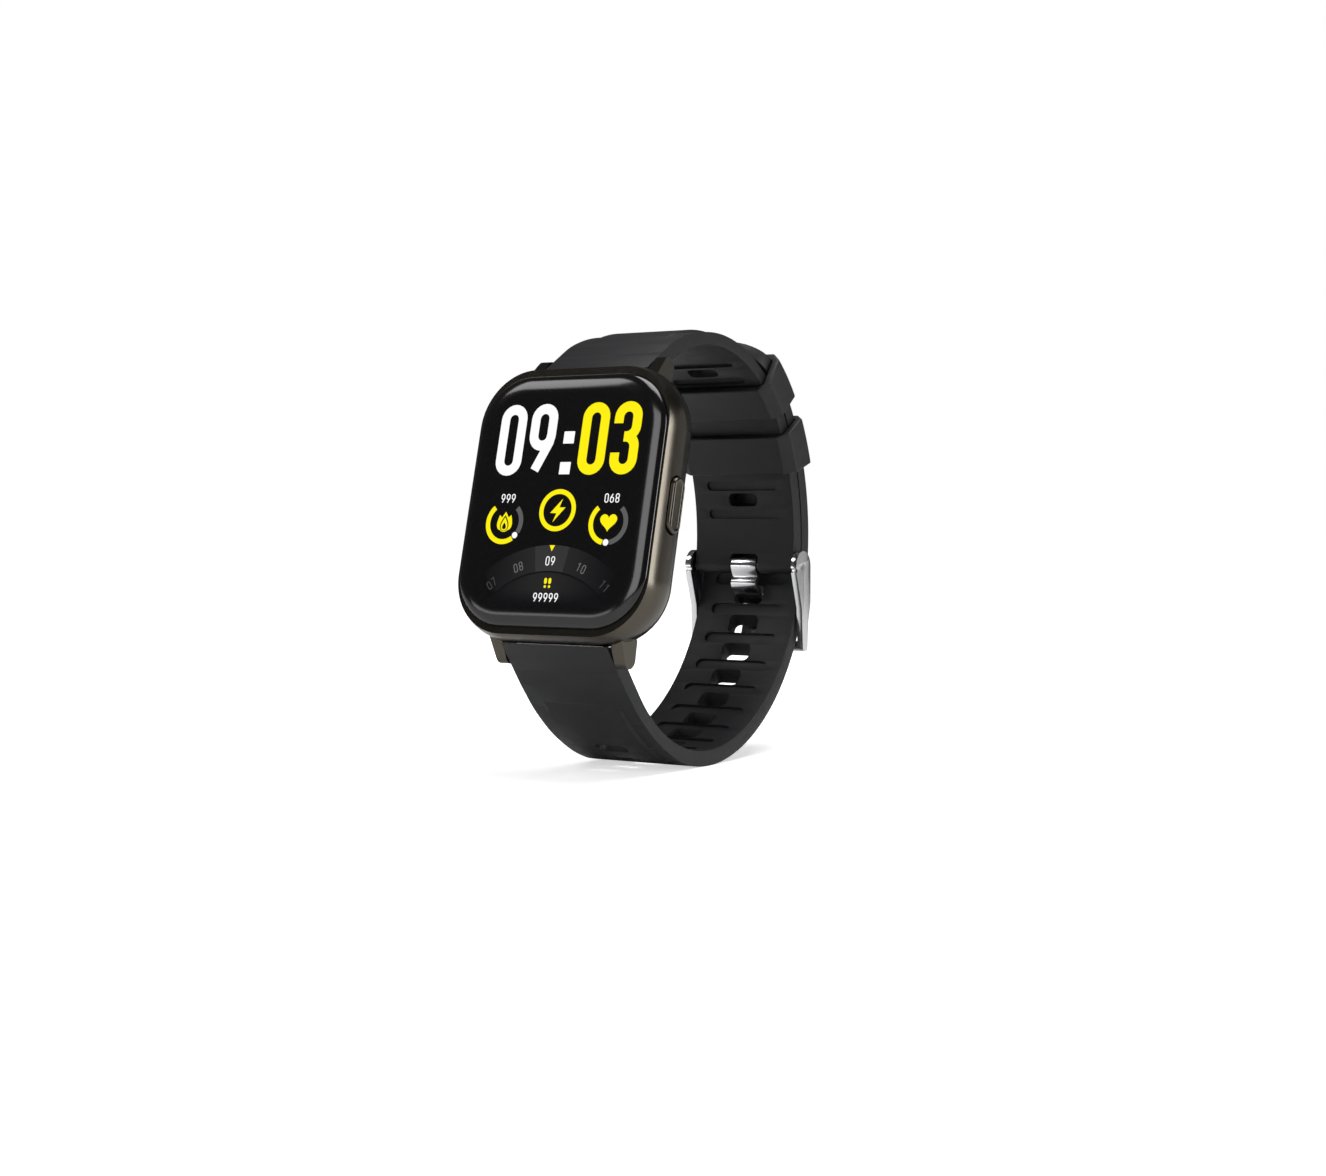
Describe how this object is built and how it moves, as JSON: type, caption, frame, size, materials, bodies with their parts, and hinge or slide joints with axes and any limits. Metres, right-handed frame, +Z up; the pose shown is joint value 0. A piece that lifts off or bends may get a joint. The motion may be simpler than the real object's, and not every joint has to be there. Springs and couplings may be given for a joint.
{
  "type": "smartwatch",
  "caption": "Rectangular touch-screen smartwatch with a side button on a closed silicone strap with a pin buckle and two sliding keepers.",
  "frame": {"origin": "under the middle of the watch at floor level, the bottom centre of its bounding box", "axes": "+Z up, face towards -Y leaning back 14.4 degrees, +X towards the side button (across the strap)"},
  "size_m": [0.0379, 0.0719, 0.0731],
  "materials": {
    "case_metal": "dark bronze-grey polished metal",
    "cover_glass": "black-bordered glossy glass",
    "black_adhesive": "matt black adhesive",
    "display_panel": "black screen with a lit watch face",
    "flex_circuit": "amber polyimide film",
    "chassis_plastic": "moulded dark plastic",
    "circuit_board": "green solder mask",
    "chip_package": "black moulded package",
    "shield_metal": "plain stamped metal",
    "battery_foil": "laminated foil pouch",
    "cover_plastic": "fine-grained black plastic",
    "seal_rubber": "red-brown silicone seal",
    "screw_steel": "turned steel",
    "sensor_lens": "smoked lens",
    "sensor_leds": "green clear-topped diodes",
    "contact_gold": "gold-plated pads",
    "magnet_nickel": "nickel plate",
    "switch_plastic": "off-white switch body",
    "strap_silicone": "soft matt dark-grey silicone",
    "bar_steel": "drawn steel",
    "spring_steel": "spring wire",
    "buckle_steel": "bright polished steel"
  },
  "bodies": {
    "watch": {"case_frame": "case_metal", "cover_glass": "cover_glass", "glass_adhesive": "black_adhesive", "display_module": "display_panel", "display_flex": "flex_circuit", "button_flex": "flex_circuit", "antenna_flex": "flex_circuit", "inner_chassis": "chassis_plastic", "main_board": "circuit_board", "sensor_board": "circuit_board", "board_chips": "chip_package", "shield_can": "shield_metal", "vibration_motor": "shield_metal", "battery": "battery_foil", "back_cover": "cover_plastic", "back_cover_seal": "seal_rubber", "button_seal": "seal_rubber", "back_cover_screws": "screw_steel", "sensor_window": "sensor_lens", "sensor_parts": "sensor_leds", "charge_contacts": "contact_gold", "charge_magnets": "magnet_nickel", "button_switch": "switch_plastic", "top_strap": "strap_silicone", "bottom_strap": "strap_silicone", "top_bar_tube": "bar_steel", "bottom_bar_tube": "bar_steel", "top_bar_spring": "spring_steel", "bottom_bar_spring": "spring_steel"},
    "button": {"button_cap": "case_metal", "button_clip": "screw_steel"},
    "top_release_pin": {"top_bar_pin": "bar_steel"},
    "bottom_release_pin": {"bottom_bar_pin": "bar_steel"},
    "buckle": {"buckle_frame": "buckle_steel", "buckle_bar": "bar_steel"},
    "tang": {"buckle_tang": "buckle_steel"},
    "upper_keeper": {"keeper_upper": "strap_silicone"},
    "lower_keeper": {"keeper_lower": "strap_silicone"}
  },
  "joints": [
    {"name": "button_press", "type": "slide", "parent": "watch", "child": "button", "axis": [-1, 0, 0], "range_m": [0, 0.00045], "stiffness_N_per_m": 2000, "springref_m": -0.0003},
    {"name": "top_pin_release", "type": "slide", "parent": "watch", "child": "top_release_pin", "axis": [-1, 0, 0], "range_m": [0, 0.0014], "stiffness_N_per_m": 500, "springref_m": -0.001, "deforming": ["top_bar_spring"]},
    {"name": "bottom_pin_release", "type": "slide", "parent": "watch", "child": "bottom_release_pin", "axis": [-1, 0, 0], "range_m": [0, 0.0014], "stiffness_N_per_m": 500, "springref_m": -0.001, "deforming": ["bottom_bar_spring"]},
    {"name": "buckle_swing", "type": "hinge", "parent": "watch", "child": "buckle", "pos_m": [0, 0.03126, 0.03258], "axis": [1, 0, 0], "range_deg": [0, 3]},
    {"name": "tang_lift", "type": "hinge", "parent": "buckle", "child": "tang", "pos_m": [0, 0.03126, 0.03258], "axis": [1, 0, 0], "range_deg": [0, 2.5]},
    {"name": "upper_keeper_slide", "type": "hinge", "parent": "watch", "child": "upper_keeper", "pos_m": [0, 0.001, 0.04226], "axis": [1, 0, 0], "range_deg": [-3, 24]},
    {"name": "lower_keeper_slide", "type": "hinge", "parent": "watch", "child": "lower_keeper", "pos_m": [0, -0.00543, 0.03839], "axis": [1, 0, 0], "range_deg": [-17, 2]}
  ]
}
